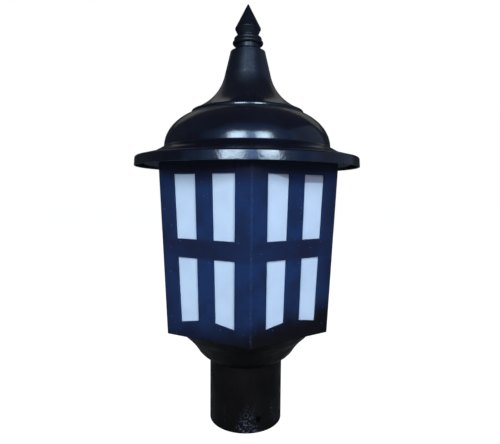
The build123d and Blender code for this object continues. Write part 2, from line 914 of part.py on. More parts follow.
def earth_screw():
    length = earth_tag_thickness + floor_screw_grip
    one = screw(screw_radius, screw_head_radius, screw_head_height, length)
    return Pos(earth_screw_x, earth_screw_y, floor_top + earth_tag_thickness) * one


parts = {
    "base_casting": base_casting(),
    "cable_grommet": cable_grommet(),
    "base_gasket": base_gasket(),
    "cage": cage(),
    "holder_tray": holder_tray(),
    "base_screws": base_screws(),
    "roof_ring": roof_ring(),
    "roof_ring_screws": post_screws((1, 2, 4, 5), ring_top),
    "roof_bridge": roof_bridge(),
    "bridge_screws": post_screws((0, 3), bridge_top),
    "bridge_nut": bridge_nut(),
    "canopy_dome": canopy_dome(),
    "roof_gasket": roof_gasket(),
    "spire_cone": spire_cone(),
    "finial_washer": finial_washer(),
    "finial": finial(),
    "finial_stud": finial_stud(),
    "lamp_holder": lamp_holder(),
    "holder_thread_shell": holder_thread_shell(),
    "holder_contact": holder_contact(),
    "holder_screws": holder_screws(),
    "bulb_contact": bulb_contact(),
    "bulb_cap": bulb_cap(),
    "bulb_housing": bulb_housing(),
    "bulb_globe": bulb_globe(),
    "led_board": led_board(),
    "terminal_block": terminal_block(),
    "terminal_screws": terminal_screws(),
    "block_screws": block_screws(),
    "live_wire": lamp_wire(-pole_pitch, -1),
    "neutral_wire": lamp_wire(0, 1),
    "earth_wire": earth_wire(),
    "earth_tag": earth_tag(),
    "earth_screw": earth_screw(),
}
for number in range(cage_sides):
    parts[f"diffuser_panel_{number + 1}"] = diffuser_panel(number)
for number in range(set_screw_count):
    parts[f"set_screw_{number + 1}"] = set_screw(number)

os.makedirs("parts", exist_ok=True)
for node, shape in parts.items():
    export_step(shape, f"parts/{node}.step")
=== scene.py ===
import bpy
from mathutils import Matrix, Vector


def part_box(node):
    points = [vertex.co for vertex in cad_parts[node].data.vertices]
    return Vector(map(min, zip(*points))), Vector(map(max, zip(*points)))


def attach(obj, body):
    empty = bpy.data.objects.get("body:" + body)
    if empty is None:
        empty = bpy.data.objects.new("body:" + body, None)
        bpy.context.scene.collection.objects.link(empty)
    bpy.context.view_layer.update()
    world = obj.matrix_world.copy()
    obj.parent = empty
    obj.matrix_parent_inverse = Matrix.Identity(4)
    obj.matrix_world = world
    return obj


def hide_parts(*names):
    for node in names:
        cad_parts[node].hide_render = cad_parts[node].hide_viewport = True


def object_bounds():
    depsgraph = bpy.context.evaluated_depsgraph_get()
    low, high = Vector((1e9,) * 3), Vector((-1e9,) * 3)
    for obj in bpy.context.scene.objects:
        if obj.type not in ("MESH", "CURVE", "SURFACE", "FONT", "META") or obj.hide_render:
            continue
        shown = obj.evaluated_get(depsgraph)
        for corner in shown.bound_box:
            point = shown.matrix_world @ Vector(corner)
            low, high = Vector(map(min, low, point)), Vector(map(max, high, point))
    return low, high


bl_info = {
    "name": "Gate light",
    "version": (1, 0, 0),
    "blender": (4, 5, 0),
    "location": "3D View > Sidebar > Gate light",
    "description": "Shapes and paints a pole-top gate lantern on its packed frame",
    "category": "Object",
}

from math import acos, asin, cos, pi, radians, sin

import bmesh
import bpy
from mathutils import Matrix, Vector
from mathutils.geometry import interpolate_bezier

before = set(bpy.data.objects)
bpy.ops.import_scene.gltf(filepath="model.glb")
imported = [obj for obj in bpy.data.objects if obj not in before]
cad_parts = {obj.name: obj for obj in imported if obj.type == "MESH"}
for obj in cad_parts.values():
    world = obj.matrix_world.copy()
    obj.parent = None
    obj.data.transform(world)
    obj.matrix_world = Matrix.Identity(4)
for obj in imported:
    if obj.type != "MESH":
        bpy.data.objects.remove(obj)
CAD_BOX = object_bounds()
BOXES = {node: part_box(node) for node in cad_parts}
MM = 0.001
SIDES = 6
HALF_SIDE = pi / SIDES
DIAGONAL = cos(radians(45))
AXIS = {"cent": (0, 0, 0), "axis": (0, 0, 1)}
MERGE = 0.005 * MM  # points nearer than this become one
SHARP_ANGLE = radians(32)  # edges over this are shaded sharp
EDGE_LAYER = "edge"  # marks the rounded edges for the paints
DULL_PAINT = {"IOR": 1.45, "Specular_IOR_Level": 0.08}
WHITE = (1.0, 1.0, 1.0, 1.0)
SET_SCREWS = ("set_screw_1", "set_screw_2", "set_screw_3")
FINISHES = {}


# Settings


def reach(node):
    """Largest distance of a node from the axis along X."""
    return BOXES[node][1].x


def foot(node):
    """Height of a node's lower end."""
    return BOXES[node][0].z


def head(node):
    """Height of a node's upper end."""
    return BOXES[node][1].z


def size(label, about, millimetres):
    """A length that a user may change."""
    return bpy.props.FloatProperty(
        name=label, description=about, default=millimetres * MM, min=0.0, unit="LENGTH", precision=5
    )


def colour(label, about, red, green, blue):
    """A colour that a user may change, in linear light."""
    return bpy.props.FloatVectorProperty(
        name=label, description=about, default=(red, green, blue), min=0.0, max=1.0, subtype="COLOR"
    )


def amount(label, about, value):
    """A plain number that a user may change."""
    return bpy.props.FloatProperty(name=label, description=about, default=value, min=0.0, precision=4)


class RoofSizes(bpy.types.PropertyGroup):
    """Sizes of the canopy and of the spire that stands on it."""

    wall: size("Wall", "Thickness of the canopy's sheet", 2.0)
    rim_band: size("Rim band", "Height of the upright band at the edge", 6.6)
    rim_round: size("Rim round", "Radius of the band's upper edge", 2.4)
    rim_lean: size("Rim lean", "How far the band leans in at its top", 0.4)
    brim_width: size("Brim width", "Width of the sloping brim", 17.3)
    brim_rise: size("Brim rise", "Height of the brim's inner edge over the rim", 12.7)
    dome_step: size("Dome step", "Width of the fillet between brim and dome", 9.8)
    dome_foot: size("Dome foot", "Height of the dome's foot over the rim", 18.2)
    dome_reach: size("Dome reach", "Level half axis of the dome's curve", 52.2)
    dome_height: size("Dome height", "Upright half axis of the dome's curve", 37.3)
    brim_bend: size("Brim bend", "Radius of the bends beside the brim", 1.6)
    stud_hole: size("Stud hole", "Radius of the hole for the finial's stud", 3.5)
    spire_edge: size("Spire edge", "Height of the spire's upright foot", 2.55)
    spire_round: size("Spire round", "Radius of the foot's upper edge", 1.95)
    flare_radius: size("Flare radius", "Radius where the flare ends", 22.1)
    flare_rise: size("Flare rise", "Height of the flare over the foot", 32.9)
    pull_radius: size("Pull radius", "Radius of the point that bends the flare", 27.65)
    pull_rise: size("Pull rise", "Height of the point that bends the flare", 11.05)
    neck_radius: size("Neck radius", "Radius of the spire's upper end", 16.55)
    neck_rise: size("Neck rise", "Height of the upper end over the foot", 55.95)
    top_radius: size("Top radius", "Radius of the flat top", 11.9)
    spire_wall: size("Spire wall", "Thickness of the spire's side", 1.3)
    spire_skin: size("Spire skin", "Thickness of the spire's top", 2.0)


class FinialSizes(bpy.types.PropertyGroup):
    """Sizes of the turned finial."""

    neck_radius: size("Neck radius", "Radius of the neck", 12.0)
    neck_height: size("Neck height", "Height of the neck", 4.0)
    lower_radius: size("Lower ring", "Radius of the lower ring", 14.6)
    lower_height: size("Lower ring height", "Height of the lower ring", 3.6)
    groove_radius: size("Groove", "Radius of the groove between the rings", 12.6)
    upper_radius: size("Upper ring", "Radius of the upper ring", 13.2)
    upper_height: size("Upper ring height", "Height of the upper ring", 3.5)
    waist_radius: size("Waist", "Radius of the waist under the point", 9.6)
    waist_height: size("Waist height", "Height of the waist", 2.1)
    point_radius: size("Point", "Radius at the point's foot", 12.4)
    point_base: size("Point base", "Height from the waist to the point's foot", 5.8)
    tip_radius: size("Tip", "Radius of the blunt tip", 0.6)
    bore: size("Bore", "Radius of the stud's hole", 3.05)
    bore_depth: size("Bore depth", "Depth of the stud's hole", 14.0)
    edge: size("Edge", "Rounding of the turned edges", 0.35)


class BaseSizes(bpy.types.PropertyGroup):
    """Sizes of the bowl and its collar."""

    collar_wall: size("Collar wall", "Wall of the collar", 4.6)
    bore: size("Bore", "Radius of the pole's bore", 30.65)
    collar_height: size("Collar height", "Height of the collar", 62.1)
    bore_depth: size("Bore depth", "Depth of the pole's bore", 52.0)
    floor_top: size("Floor", "Height of the floor inside", 56.0)
    grommet_hole: size("Grommet hole", "Radius of the cable's hole in the floor", 7.0)
    grommet_seat: size("Grommet seat", "Radius of the seat under the floor", 9.5)
    seat_depth: size("Seat depth", "Depth of the seat under the floor", 1.5)
    waist_radius: size("Waist radius", "Radius where the bowl's two curves meet", 46.65)
    waist_height: size("Waist height", "Height where the bowl's two curves meet", 71.1)
    shoulder_radius: size("Shoulder radius", "Radius of the bowl under the flange", 61.0)
    shoulder_height: size("Shoulder height", "Height of the bowl under the flange", 88.2)
    swell: size("Swell", "How far the bowl's curves leave a straight line", 0.65)
    flange_height: size("Flange height", "Height of the flange's lower edge", 96.5)
    bowl_wall: size("Bowl wall", "Wall of the bowl", 4.2)
    edge: size("Edge", "Rounding of the casting's edges", 0.7)
    screw_hole: size("Set screw hole", "Radius of a set screw's hole", 3.08)
    screw_height: size("Set screw height", "Height of the set screws", 13.2)


class CageSizes(bpy.types.PropertyGroup):
    """Sizes of the six-sided cage."""

    foot_radius: size("Foot radius", "Distance of a corner from the axis at the foot", 82.5)
    wall: size("Wall", "Thickness of the sheet", 2.0)
    sill: size("Sill", "Height of the lower windows over the foot", 13.0)
    sill_arch: size("Sill arch", "Rise of the lower sills towards the middle", 3.3)
    lower_window: size("Lower windows", "Height of the lower windows at the middle", 53.8)
    cross_bar: size("Cross bar", "Height of the bar between the windows", 15.9)
    upper_window: size("Upper windows", "Height of the upper windows", 54.7)
    corner_stile: size("Corner stile", "Width of the stile at each corner", 15.2)
    middle_stile: size("Middle stile", "Width of the stile between the windows", 15.9)
    fold: size("Fold", "Radius of the folded corners", 1.5)
    edge: size("Edge", "Rounding of the cut edges", 0.35)
    lip_opening: size("Lip opening", "Radius of the opening in the foot's lip", 57.5)
    lip_rise: size("Lip rise", "Height of the lip over the foot", 5.4)
    post_radius: size("Post radius", "Radius of the screw posts in the corners", 4.5)
    post_length: size("Post length", "Length of the screw posts", 14.0)
    post_inset: size("Post inset", "Distance of a post's middle from the faces", 5.4)


class Finishes(bpy.types.PropertyGroup):
    """Colours of the finishes."""

    roof: colour("Roof", "Gloss black of the roof", 0.0031, 0.0036, 0.0072)
    roof_haze: colour("Roof haze", "Paler patches of the roof's paint", 0.0045, 0.0052, 0.0112)
    roof_gloss: colour("Roof gloss", "Tint of the roof's shine", 0.78, 0.89, 1.0)
    dust: colour("Dust", "Dust on the roof", 0.03, 0.032, 0.036)
    cage: colour("Cage", "Satin blue-black of the cage", 0.0126, 0.0305, 0.093)
    # Darker tone for painted shade on the bars, the sides and under the roof, and for random patches
    cage_dull_and_painted_shade: colour("Cage dull", "Dull bars and sides of the cage", 0.0112, 0.0148, 0.039)
    # Painted shade on the skirt, darker towards the bottom and more on the right
    cage_foot_painted_shade: colour("Cage foot", "Grime on the cage's skirt", 0.006, 0.005, 0.0066)
    # Pale dust under the rim that also stands in for light in the roof's shadow
    cage_dust_and_painted_light: colour("Cage dust", "Dust under the roof's rim", 0.03, 0.031, 0.042)
    cage_edge: colour("Cage edge", "Rubbed edges and specks of the cage", 0.06, 0.09, 0.17)
    base: colour("Base", "Dull black of the base", 0.0046, 0.0037, 0.0033)
    scuff: colour("Scuffs", "Pale scuffs on the collar", 0.075, 0.085, 0.115)
    opal: colour("Opal", "Milky panes", 0.62, 0.71, 0.82)
    opal_dust: colour("Opal dust", "Dull patches of the panes", 0.565, 0.65, 0.77)
    # Painted shadow of the roof's rim on the panes' upper edges, not a colour of the acrylic
    opal_painted_shadow: colour("Opal grey", "Grey upper edges of the panes", 0.27, 0.25, 0.3)
    white: colour("White paint", "Tray and lamp board", 0.78, 0.78, 0.76)
    rubber: colour("Rubber", "Gaskets and grommet", 0.022, 0.022, 0.023)
    zinc: colour("Zinc", "Plated screws and strap", 0.56, 0.57, 0.60)
    black_steel: colour("Black steel", "Set screws", 0.016, 0.016, 0.019)
    brass: colour("Brass", "Contacts and clamps", 0.66, 0.44, 0.16)
    porcelain: colour("Porcelain", "Lamp holder", 0.80, 0.77, 0.71)
    bulb: colour("Bulb", "Frosted bulb", 0.82, 0.82, 0.80)
    block: colour("Terminal block", "Pale plastic", 0.72, 0.70, 0.63)
    live: colour("Live wire", "Brown insulation", 0.085, 0.032, 0.012)
    neutral: colour("Neutral wire", "Blue insulation", 0.012, 0.05, 0.30)
    earth: colour("Earth wire", "Green insulation", 0.02, 0.20, 0.035)


class StageSettings(bpy.types.PropertyGroup):
    """Floor, lights and camera."""

    floor: colour("Floor", "Paper of the floor", 0.28, 0.28, 0.28)
    floor_lift: amount("Floor lift", "Extra brightness of the floor in plain view", 0.93)
    backdrop: colour("Backdrop", "Paper of the backdrop", 0.1, 0.1, 0.1)
    backdrop_lift: amount("Backdrop lift", "Extra brightness of backdrop and room in plain view", 0.985)
    mirror: amount("Paper in mirrors", "Extra brightness of the paper in reflections", 0.012)
    room: colour("Room", "Dim room around the stage", 0.026, 0.026, 0.034)
    daylight: colour("Daylight", "Colour of the two tall lights", 0.82, 0.93, 1.0)
    daylight_level: amount("Daylight level", "Brightness of the two tall lights", 14.0)
    between: colour("Between", "Colour of the light between them", 0.31, 0.52, 1.0)
    between_level: amount("Between level", "Brightness of the light between them", 2.7)
    sky: colour("Sky", "Colour of the two broad lights behind them", 0.15, 0.40, 1.0)
    sky_level: amount("Sky level", "Brightness of each broad light", 0.19)
    side: colour("Side", "Colour of the dim light at the right", 0.43, 0.5, 0.84)
    side_level: amount("Side level", "Brightness of the dim light at the right", 0.24)
    strip: colour("Strip", "Colour of the strip of light above the back", 1.0, 0.97, 0.86)
    strip_level: amount("Strip level", "Brightness of the strip above the back", 0.24)
    back: colour("Back", "Colour of the broad light behind the object", 0.9, 0.96, 1.0)
    back_level: amount("Back level", "Brightness of the broad light behind the object", 2.2)
    lens: amount("Lens", "Focal length in millimetres", 30.84)


# Materials


def new_node(tree, kind, inputs=None, **settings):
    """A node with its settings. Each input gets a plain value or a link from a socket."""
    node = tree.nodes.new(kind)
    for name, value in settings.items():
        setattr(node, name, value)
    for name, value in (inputs or {}).items():
        if isinstance(value, bpy.types.NodeSocket):
            tree.links.new(value, node.inputs[name])
        else:
            node.inputs[name].default_value = value
    return node


def empty_tree(holder):
    """Node tree of a material or a world, with nothing in it."""
    holder.use_nodes = True
    holder.node_tree.nodes.clear()
    return holder.node_tree


class Finish:
    """One node material with short calls for its patterns, all on Object coordinates."""

    speck_core = 0.5  # share of a speck's radius that is solid
    speck_chance = (0.55, 0.75)  # a cell's random number at which its speck begins and is full
    mix_inputs = (6, 7)  # places of the colours on a mix node
    mix_output = 2

    def __init__(self, name, **sockets):
        self.material = bpy.data.materials.new(f"gate_{name}")
        self.tree = empty_tree(self.material)
        inputs = {socket.replace("_", " "): value for socket, value in sockets.items()}
        self.shader = self.node("ShaderNodeBsdfPrincipled", inputs)
        self.node("ShaderNodeOutputMaterial", {"Surface": self.shader.outputs["BSDF"]})
        coordinates = self.node("ShaderNodeTexCoord").outputs
        self.place, self.facing = coordinates["Object"], coordinates["Normal"]

    def node(self, kind, inputs=None, **settings):
        return new_node(self.tree, kind, inputs, **settings)

    def stretched(self, *scale):
        """Coordinates stretched by a different scale along each axis."""
        return self.node("ShaderNodeMapping", {"Vector": self.place, "Scale": scale}).outputs["Vector"]

    def noise(self, scale, detail=2, roughness=0.5, place=None):
        inputs = {"Scale": scale, "Detail": detail, "Roughness": roughness, "Vector": place or self.place}
        return self.node("ShaderNodeTexNoise", inputs).outputs["Fac"]

    def patches(self, scale, detail, low, high, bottom=0.0, top=1.0):
        """Patches of noise with soft edges."""
        return self.span(self.noise(scale, detail), low, high, bottom, top)

    def mottled(self, tone, scale, share, low=0.35):
        """A tone with patches that have a share of its brightness."""
        patch = [share * part for part in tone]
        return self.mix(self.patches(scale, detail=4, low=low, high=0.7), tone, patch)

    def specks(self, scale, radius):
        """Small round spots, at most one in each cell."""
        cells = self.node("ShaderNodeTexVoronoi", {"Scale": scale, "Vector": self.place}).outputs
        near = self.span(cells["Distance"], radius, radius * self.speck_core)
        picked = self.span(self.axis(cells["Color"], "X"), *self.speck_chance)
        return self.maths("MULTIPLY", near, picked)

    def rubbed(self, scale, low, high, top=1.0):
        """Grains of wear along the rounded edges."""
        edge = self.node("ShaderNodeAttribute", attribute_name=EDGE_LAYER).outputs["Fac"]
        return self.maths("MULTIPLY", edge, self.patches(scale, 3, low, high, top=top))

    def span(self, value, low, high, bottom=0.0, top=1.0):
        """A value brought smoothly from one range to another."""
        inputs = {"Value": value, "From Min": low, "From Max": high, "To Min": bottom, "To Max": top}
        return self.node("ShaderNodeMapRange", inputs, interpolation_type="SMOOTHSTEP").outputs["Result"]

    def axis(self, vector, name):
        return self.node("ShaderNodeSeparateXYZ", {"Vector": vector}).outputs[name]

    def maths(self, operation, first, *others):
        """A value combined with each of the others in turn."""
        for other in others:
            node = self.node("ShaderNodeMath", {0: first, 1: other}, operation=operation)
            first = node.outputs["Value"]
        return first

    def unsigned(self, value):
        return self.node("ShaderNodeMath", {0: value}, operation="ABSOLUTE").outputs["Value"]

    def mix(self, share, first, second):
        """Blend of two colours, each a plain colour or a socket."""
        inputs = {"Factor": share}
        for number, tone in zip(self.mix_inputs, (first, second)):
            inputs[number] = tone if isinstance(tone, bpy.types.NodeSocket) else (*tone, 1.0)
        return self.node("ShaderNodeMix", inputs, data_type="RGBA").outputs[self.mix_output]

    def colour(self, source):
        self.tree.links.new(source, self.shader.inputs["Base Color"])

    def roughness(self, source):
        self.tree.links.new(source, self.shader.inputs["Roughness"])

    def bump(self, height, strength, depth):
        """Adds a layer of relief to those before it, with its depth in metres."""
        inputs = {"Height": height, "Strength": strength, "Distance": depth}
        normal = self.shader.inputs["Normal"]
        if normal.is_linked:
            inputs["Normal"] = normal.links[0].from_socket
        self.tree.links.new(self.node("ShaderNodeBump", inputs).outputs["Normal"], normal)


def black_paint(name, tones, ior, least_rough, most_rough):
    """Black paint with orange peel, haze and dust.

    It is duller underneath, in the joint round the spire's foot and on the spire.
    """
    paint = Finish(name, IOR=ior, Specular_Tint=(*tones.roof_gloss, 1.0))
    haze = paint.patches(scale=26, detail=4, low=0.42, high=0.68)
    dust = paint.specks(scale=260, radius=0.12)
    paint.colour(paint.mix(dust, paint.mix(haze, tones.roof, tones.roof_haze), tones.dust))
    joint = head("canopy_dome")
    height = paint.axis(paint.place, "Z")
    rags = paint.patches(scale=75, detail=4, low=0.3, high=0.7, bottom=-1.3 * MM, top=1.3 * MM)
    over_dome = paint.span(paint.maths("ADD", height, rags), joint - 5.2 * MM, joint - 2.4 * MM)
    under_spire = paint.span(height, joint + 0.2 * MM, joint - 0.1 * MM, top=0.4)
    grime = paint.maths("MULTIPLY", over_dome, under_spire)
    underneath = paint.span(paint.axis(paint.facing, "Z"), -0.4, -0.8, top=0.6)
    spire = paint.span(height, joint + 4 * MM, joint + 24 * MM, top=0.15)
    gloss = paint.patches(scale=70, detail=3, low=0.35, high=0.7, bottom=least_rough, top=most_rough)
    paint.roughness(paint.maths("ADD", gloss, paint.maths("MAXIMUM", grime, underneath, spire)))
    paint.bump(paint.noise(240), strength=0.2, depth=0.4 * MM)
    paint.bump(paint.noise(560), strength=0.45, depth=0.14 * MM)
    return paint.material


def roof_paint(tones):
    """Gloss paint of the canopy and the spire."""
    return black_paint("roof_paint", tones, ior=1.75, least_rough=0.14, most_rough=0.2)


def finial_paint(tones):
    """Duller paint of the finial."""
    return black_paint("finial_paint", tones, ior=1.41, least_rough=0.19, most_rough=0.31)


def cage_paint(tones):
    """Satin blue-black paint with specks and rubbed edges.

    It has painted shade on the bars, on the sides and in a band under the roof, in a darker tone that
    random patches also take; painted shade darkens the skirt, reaching higher on the right; pale dust under
    the rim also lifts the roof's shadow there, partly painted light.
    """
    paint = Finish("cage_paint", **DULL_PAINT)
    tall = head("cage") - foot("cage")
    bar_height = 78 * MM
    skirt_slope = -0.17
    across = paint.axis(paint.place, "X")
    height = paint.maths("ADD", paint.axis(paint.place, "Z"), -foot("cage"))
    # Painted shade: darker bars, a darker band under the roof and darker sides where the faces turn from
    # the light
    bar = paint.span(paint.unsigned(paint.maths("ADD", height, -bar_height)), 12 * MM, 5 * MM)
    eaves = paint.span(height, tall - 26 * MM, tall - 12 * MM)
    sides = paint.span(paint.unsigned(across), 50 * MM, 76 * MM)
    patchy = paint.patches(scale=30, detail=4, low=0.3, high=0.62, bottom=0.5)
    painted_shade = paint.maths("MULTIPLY", paint.maths("MAXIMUM", bar, eaves, sides), patchy)
    cloud = paint.patches(scale=46, detail=4, low=0.4, high=0.68, top=0.6)
    field = paint.mix(paint.maths("MAXIMUM", painted_shade, cloud), tones.cage, tones.cage_dull_and_painted_shade)
    # Pale dust under the rim, which also lifts the roof's shadow there as painted light
    under_roof_dust_and_light = paint.span(height, tall - 13 * MM, tall - 5 * MM, top=0.75)
    below_ring = paint.span(height, tall, tall - 0.4 * MM)
    field = paint.mix(paint.maths("MULTIPLY", under_roof_dust_and_light, below_ring), field, tones.cage_dust_and_painted_light)
    # Painted shade on the skirt: darker towards the bottom and reaching higher on the right
    leaning = paint.maths("ADD", height, paint.maths("MULTIPLY", across, skirt_slope))
    rags = paint.patches(scale=40, detail=3, low=0.3, high=0.7, bottom=-3 * MM, top=3 * MM)
    skirt = paint.span(paint.maths("ADD", leaning, rags), 30 * MM, 2 * MM)
    field = paint.mix(skirt, field, tones.cage_foot_painted_shade)
    rubbed = paint.rubbed(scale=420, low=0.45, high=0.62, top=0.15)
    marks = paint.maths("MAXIMUM", rubbed, paint.specks(scale=210, radius=0.13))
    paint.colour(paint.mix(marks, field, tones.cage_edge))
    paint.roughness(paint.patches(scale=120, detail=3, low=0.3, high=0.7, bottom=0.46, top=0.62))
    paint.bump(paint.noise(300), strength=0.1, depth=0.4 * MM)
    paint.bump(paint.noise(2200), strength=0.12, depth=0.12 * MM)
    return paint.material


def base_paint(tones):
    """Dull black paint on a casting, scuffed where the pole is pushed in."""
    paint = Finish("base_paint", **DULL_PAINT)
    wedge_slope = 0.33
    height = paint.axis(paint.place, "Z")
    near_mouth = paint.span(height, 36 * MM, 3 * MM)
    drawn = paint.noise(55, detail=5, roughness=0.65, place=paint.stretched(1.0, 1.0, 0.35))
    streaks = paint.span(drawn, 0.53, 0.70)
    aside = paint.unsigned(paint.axis(paint.place, "X"))
    front = paint.span(paint.axis(paint.place, "Y"), -18 * MM, -30 * MM)
    wedge = paint.maths("ADD", aside, paint.maths("MULTIPLY", height, wedge_slope))
    rub = paint.maths("MULTIPLY", paint.span(wedge, 15 * MM, 6 * MM), front)
    grains = paint.patches(scale=540, detail=3, low=0.48, high=0.68)
    worn = paint.maths("MULTIPLY", near_mouth, paint.maths("MAXIMUM", streaks, rub), grains)
    marks = paint.maths("MAXIMUM", worn, paint.rubbed(scale=300, low=0.46, high=0.64))
    field = paint.mottled(tones.base, scale=38, share=1.4, low=0.4)
    paint.colour(paint.mix(marks, field, tones.scuff))
    paint.roughness(paint.patches(scale=90, detail=4, low=0.3, high=0.7, bottom=0.36, top=0.55))
    paint.bump(paint.noise(150, detail=3), strength=0.12, depth=0.8 * MM)
    paint.bump(paint.noise(1500), strength=0.15, depth=0.15 * MM)
    return paint.material


def opal(tones):
    """Milky acrylic with a faint mottle, and a painted shadow of the roof's rim along the upper edge that
    reaches further down on one side.
    """
    sheet = Finish("opal", Roughness=0.34, IOR=1.49, Specular_IOR_Level=0.3)
    header = 10.7 * MM  # height of the cage over its windows
    window_head = head("cage") - header
    mottle = sheet.patches(scale=45, detail=4, low=0.35, high=0.75)
    milk = sheet.mix(mottle, tones.opal, tones.opal_dust)
    # Painted shadow of the roof's rim: the band starts lower towards +X
    drop = sheet.span(sheet.axis(sheet.place, "X"), 12 * MM, 46 * MM, top=6.5 * MM)
    height = sheet.maths("ADD", sheet.axis(sheet.place, "Z"), drop)
    edge = sheet.span(height, window_head - 0.9 * MM, window_head + 0.7 * MM, top=0.8)
    sheet.colour(sheet.mix(edge, milk, tones.opal_painted_shadow))
    sheet.bump(sheet.noise(90), strength=0.04, depth=0.6 * MM)
    return sheet.material


def plain_finish(name, tone, share, scale, rough, grain):
    """A finish with a slight change of tone and gloss and a fine grain."""
    surface = Finish(name)
    surface.colour(surface.mottled(tone, scale, share))
    surface.roughness(
        surface.patches(2 * scale, detail=3, low=0.3, high=0.7, bottom=rough * 0.8, top=rough * 1.25)
    )
    surface.bump(surface.noise(grain), strength=0.1, depth=0.15 * MM)
    return surface.material


def plated(name, tone, rough):
    """Bare or plated metal with fine drawn lines."""
    metal = Finish(name, Metallic=1.0)
    metal.colour(metal.mottled(tone, scale=160, share=0.72))
    lines = metal.noise(300, detail=3, roughness=0.6, place=metal.stretched(1.0, 1.0, 6.0))
    metal.roughness(metal.span(lines, 0.3, 0.7, bottom=rough * 0.7, top=rough * 1.4))
    metal.bump(lines, strength=0.12, depth=0.08 * MM)
    return metal.material


def make_finishes(tones):
    """Fills FINISHES with every finish, by the name of its slot."""
    for maker in (roof_paint, finial_paint, cage_paint, base_paint, opal):
        FINISHES[maker.__name__] = maker(tones)
    # Slot, tone, brightness and scale of the patches, roughness, scale of the grain
    plain = (
        ("white_paint", tones.white, 0.9, 40, 0.4, 900),
        ("rubber", tones.rubber, 0.7, 60, 0.75, 700),
        ("porcelain", tones.porcelain, 0.93, 50, 0.16, 260),
        ("bulb_plastic", tones.bulb, 0.95, 40, 0.45, 800),
        ("block_plastic", tones.block, 0.9, 80, 0.42, 900),
        ("wire_brown", tones.live, 0.8, 120, 0.45, 900),
        ("wire_blue", tones.neutral, 0.8, 120, 0.45, 900),
        ("wire_green", tones.earth, 0.8, 120, 0.45, 900),
    )
    # Slot, tone, roughness
    metals = (
        ("zinc", tones.zinc, 0.32),
        ("brass", tones.brass, 0.26),
        ("black_steel", tones.black_steel, 0.4),
    )
    for maker, rows in ((plain_finish, plain), (plated, metals)):
        for row in rows:
            FINISHES[row[0]] = maker(*row)


# Shapes


def three_point_arc(start, middle, end, steps):
    """Points of the arc from a start through a middle to an end, without its last point."""
    (ax, ay), (bx, by), (cx, cy) = start, middle, end
    twist = 2 * (ax * (by - cy) + bx * (cy - ay) + cx * (ay - by))
    squares = [x * x + y * y for x, y in (start, middle, end)]
    x = (squares[0] * (by - cy) + squares[1] * (cy - ay) + squares[2] * (ay - by)) / twist
    y = (squares[0] * (cx - bx) + squares[1] * (ax - cx) + squares[2] * (bx - ax)) / twist
    centre = Vector((x, y))
    spoke, halfway = Vector(start) - centre, Vector(middle) - centre
    turn = spoke.angle_signed(halfway) + halfway.angle_signed(Vector(end) - centre)
    return [tuple(centre + Matrix.Rotation(-turn * i / steps, 2) @ spoke) for i in range(steps)]


def flare_curve(start, pull, end, steps):
    """Points of the curve from a start to an end that a pull point bends, without its last point."""
    start, pull, end = (Vector((*point, 0.0)) for point in (start, pull, end))
    share = 2 / 3  # makes two handles of the one pull point
    curve = interpolate_bezier(start, start.lerp(pull, share), end.lerp(pull, share), end, steps + 1)
    return [(point.x, point.y) for point in curve[:-1]]


def turned(profile, steps, closed=True, rounds=()):
    """Shell spun about the axis from a profile of radius and height.

    Each round is a corner of the profile and the radius that it gets.
    """
    bm = bmesh.new()
    verts = [bm.verts.new((radius, 0.0, height)) for radius, height in profile]
    ends = verts[1:] + verts[:1] if closed else verts[1:]
    for pair in zip(verts, ends):
        bm.edges.new(pair)
    for (radius, height), offset in rounds:
        place = Vector((radius, 0.0, height))
        corner = min(bm.verts, key=lambda vert: (vert.co - place).length)
        bmesh.ops.bevel(
            bm, geom=[corner], offset=offset, segments=5, profile=0.5, affect="VERTICES", material=-1
        )
    outline = bm.verts[:] + bm.edges[:]
    bmesh.ops.spin(bm, geom=outline, **AXIS, angle=2 * pi, steps=steps, use_merge=True)
    bmesh.ops.remove_doubles(bm, verts=bm.verts, dist=MERGE)
    bmesh.ops.recalc_face_normals(bm, faces=bm.faces)
    return bm


def round_edges(bm, offset, least_angle, segments=2, chosen=None):
    """Rounds the edges sharper than an angle, and marks the middle of each rounding."""
    layers = bm.verts.layers.float
    layer = layers.get(EDGE_LAYER) or layers.new(EDGE_LAYER)
    sharp = [e for e in bm.edges if e.is_manifold and e.calc_face_angle() > least_angle]
    if chosen:
        sharp = [e for e in sharp if chosen(e)]
    for convex in (True, False):
        made = bmesh.ops.bevel(
            bm,
            geom=[e for e in sharp if e.is_valid and e.is_convex == convex],
            offset=offset,
            segments=segments,
            profile=0.5,
            affect="EDGES",
            clamp_overlap=True,
            material=-1,
        )
        faces = set(made["faces"])
        for vert in made["verts"]:
            if convex and all(face in faces for face in vert.link_faces):
                vert[layer] = 1.0


def add_cylinder(bm, place, radius, length, segments):
    """Adds a closed cylinder whose middle and Z axis a matrix gives."""
    bmesh.ops.create_cone(
        bm, cap_ends=True, segments=segments, radius1=radius, radius2=radius, depth=length, matrix=place
    )


def to_mesh(name, bm):
    """Turns a finished shape into a mesh."""
    mesh = bpy.data.meshes.new(name)
    bm.to_mesh(mesh)
    bm.free()
    return mesh


def add_object(name, data):
    """Adds an object to the scene for a mesh, a light or a camera."""
    item = bpy.data.objects.new(name, data)
    bpy.context.scene.collection.objects.link(item)
    return item


def add_piece(name, bm, body, slot, *nodes, finish=None):
    """Makes a mesh the shown piece for its nodes, on a body and in a finish."""
    mesh = to_mesh(name, bm)
    mesh.shade_smooth()
    mesh.set_sharp_from_angle(angle=SHARP_ANGLE)
    mesh.materials.append(FINISHES[finish or slot])
    piece = add_object(name, mesh)
    even = piece.modifiers.new("even_shading", "WEIGHTED_NORMAL")
    even.keep_sharp = True
    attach(piece, body)
    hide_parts(*nodes)


def paint_nodes(slot, *nodes):
    """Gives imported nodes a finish."""
    for node in nodes:
        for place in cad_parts[node].material_slots:
            place.material = FINISHES[slot]


# Roof


